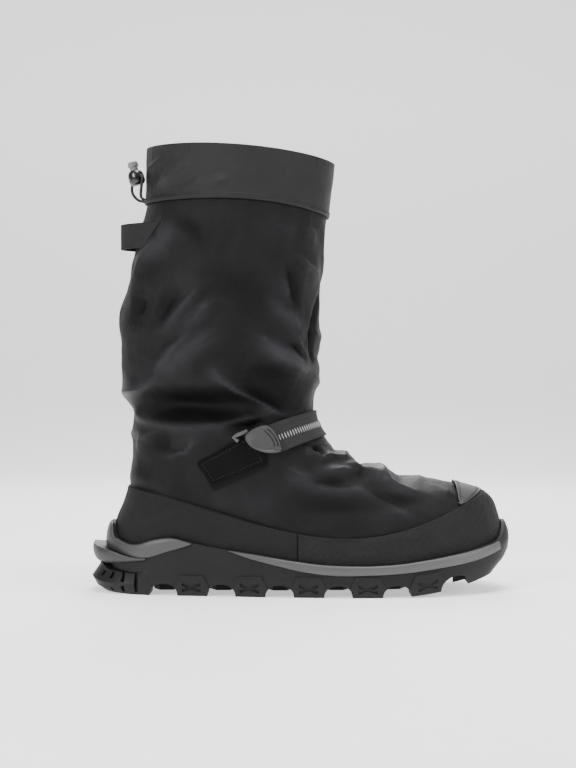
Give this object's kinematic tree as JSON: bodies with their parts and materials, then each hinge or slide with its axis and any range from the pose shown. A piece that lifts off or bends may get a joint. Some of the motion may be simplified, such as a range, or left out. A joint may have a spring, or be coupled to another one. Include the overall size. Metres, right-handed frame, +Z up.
{
  "type": "winter overshoe",
  "caption": "Tall insulated overshoe: slack nylon shaft with drawcord cuff, buckled instep strap, woven rand and lugged rubber cup sole.",
  "frame": {"origin": "on the floor, under the middle of the overshoe's length and width", "axes": "+X towards the toe, -Y towards the lateral side, +Z up the shaft"},
  "size_m": [0.3451, 0.1231, 0.3637],
  "materials": {
    "black_rubber": "matte moulded rubber",
    "grey_rubber": "satin moulded rubber",
    "black_foam": "matte foam with a cloth face",
    "coated_nylon": "coated cloth, slightly shiny",
    "heavy_weave": "coarse woven nylon",
    "grey_coating": "cloth with a rubber coating",
    "cuff_nylon": "shiny coated cloth",
    "grey_webbing": "woven webbing",
    "black_tape": "matte hook and loop tape",
    "grey_plastic": "matte moulded plastic",
    "black_cord": "round elastic cord",
    "gloss_black": "gloss moulded plastic"
  },
  "bodies": {
    "overshoe": {"outsole": "black_rubber", "heel_cradle": "grey_rubber", "kick_spur": "grey_rubber", "flank_band_lateral": "grey_rubber", "flank_band_medial": "grey_rubber", "insole": "black_foam", "upper": "coated_nylon", "rand": "heavy_weave", "toe_patch": "grey_coating", "cuff": "cuff_nylon", "pull_loop": "grey_webbing", "instep_strap": "grey_webbing", "buckle_patch": "black_tape", "strap_tail": "black_tape", "buckle_frame": "grey_plastic", "buckle_tab": "grey_plastic", "draw_cord": "black_cord", "cord_lock": "gloss_black"},
    "button": {"lock_button": "grey_plastic"}
  },
  "joints": [
    {"name": "button_press", "type": "slide", "parent": "overshoe", "child": "button", "axis": [0.2588, 0, -0.9659], "range_m": [0, 0.003], "stiffness_N_per_m": 200}
  ]
}
